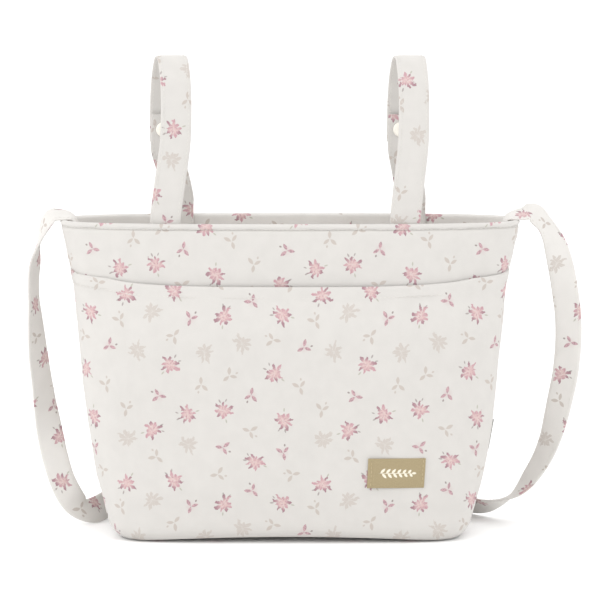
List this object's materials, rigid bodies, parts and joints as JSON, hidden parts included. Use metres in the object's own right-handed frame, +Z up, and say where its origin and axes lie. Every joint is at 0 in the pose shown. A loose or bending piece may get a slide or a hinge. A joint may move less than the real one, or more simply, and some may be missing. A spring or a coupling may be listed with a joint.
{
  "type": "stroller diaper bag",
  "caption": "Soft floral diaper bag with a front pocket, zipped mouth, two snap-open stroller loops and a long shoulder strap",
  "frame": {"origin": "Centre of the flat base, on the surface that the bag stands on.", "axes": "+X to the right as seen from the front, +Y from the front pocket to the back, +Z up."},
  "size_m": [0.4391, 0.1545, 0.3768],
  "materials": {
    "print_cloth": "plain-weave cotton with a small pink floral print",
    "strap_cloth": "the same printed cotton folded into a strap",
    "lining_cloth": "plain cream cotton",
    "wadding": "polyester wadding",
    "board": "stiff plastic board",
    "zip_tape": "woven polyester tape",
    "zip_coil": "nylon coil",
    "zip_metal": "satin pale brass",
    "snap_plastic": "smooth cream plastic",
    "patch_leather": "tan leatherette with a stitched edge",
    "tag_cloth": "grey woven tape"
  },
  "bodies": {
    "bag": {"outer_front": "print_cloth", "outer_back": "print_cloth", "outer_base": "print_cloth", "pocket_panel": "print_cloth", "pocket_lining": "lining_cloth", "facing_front": "print_cloth", "facing_back": "print_cloth", "wadding_front": "wadding", "wadding_back": "wadding", "lining_front": "lining_cloth", "lining_back": "lining_cloth", "lining_base": "lining_cloth", "base_board": "board", "inner_pocket": "lining_cloth", "inner_pocket_elastic": "lining_cloth", "zip_surround": "print_cloth", "zip_ends": "zip_coil", "loop_limb_left": "strap_cloth", "loop_limb_right": "strap_cloth", "tab_root_left": "strap_cloth", "tab_root_right": "strap_cloth", "strap_root_left": "strap_cloth", "strap_root_right": "strap_cloth", "label_patch": "patch_leather", "side_tag": "tag_cloth"},
    "zip_front": {"zip_cloth_front": "print_cloth", "zip_tape_front": "zip_tape", "zip_teeth_front": "zip_coil"},
    "zip_back": {"zip_cloth_back": "print_cloth", "zip_tape_back": "zip_tape", "zip_teeth_back": "zip_coil"},
    "slider": {"zip_slider": "zip_metal"},
    "pull": {"zip_pull": "zip_metal"},
    "tail_left": {"loop_tail_left": "strap_cloth", "snap_stud_left": "snap_plastic", "snap_stud_cap_left": "snap_plastic"},
    "tail_right": {"loop_tail_right": "strap_cloth", "snap_stud_right": "snap_plastic", "snap_stud_cap_right": "snap_plastic"},
    "tab_left": {"loop_tab_left": "strap_cloth", "snap_socket_left": "snap_plastic", "snap_socket_cap_left": "snap_plastic"},
    "tab_right": {"loop_tab_right": "strap_cloth", "snap_socket_right": "snap_plastic", "snap_socket_cap_right": "snap_plastic"},
    "strap": {"shoulder_strap": "strap_cloth"}
  },
  "joints": [
    {"name": "zip_front_fold", "type": "hinge", "parent": "bag", "child": "zip_front", "pos_m": [0, -0.033, 0.2216], "axis": [-1, 0, 0], "range_deg": [0, 75]},
    {"name": "zip_back_fold", "type": "hinge", "parent": "bag", "child": "zip_back", "pos_m": [0, 0.033, 0.2216], "axis": [1, 0, 0], "range_deg": [0, 75]},
    {"name": "slider_run", "type": "slide", "parent": "bag", "child": "slider", "axis": [-1, 0, 0], "range_m": [0, 0.264]},
    {"name": "pull_swing", "type": "hinge", "parent": "slider", "child": "pull", "pos_m": [0.132, 0, 0.2262], "axis": [0, -1, 0], "range_deg": [0, 170]},
    {"name": "loop_left_open", "type": "hinge", "parent": "bag", "child": "tail_left", "pos_m": [-0.093, 0, 0.3767], "axis": [0.9833, 0.1822, 0], "range_deg": [0, 110]},
    {"name": "loop_right_open", "type": "hinge", "parent": "bag", "child": "tail_right", "pos_m": [0.0935, 0, 0.3767], "axis": [0.9925, 0.1219, 0], "range_deg": [0, 110]},
    {"name": "tab_left_flex", "type": "hinge", "parent": "bag", "child": "tab_left", "pos_m": [-0.089, 0.0328, 0.252], "axis": [1, 0, 0], "range_deg": [0, 25], "stiffness_Nm_per_rad": 0.02},
    {"name": "tab_right_flex", "type": "hinge", "parent": "bag", "child": "tab_right", "pos_m": [0.096, 0.0324, 0.252], "axis": [1, 0, 0], "range_deg": [0, 25], "stiffness_Nm_per_rad": 0.02},
    {"name": "strap_swing", "type": "hinge", "parent": "bag", "child": "strap", "pos_m": [0, 0, 0.251], "axis": [1, 0, 0], "range_deg": [0, 160]}
  ],
  "couplings": [
    {"joint": "zip_back_fold", "follows": "zip_front_fold", "ratio": 1}
  ]
}
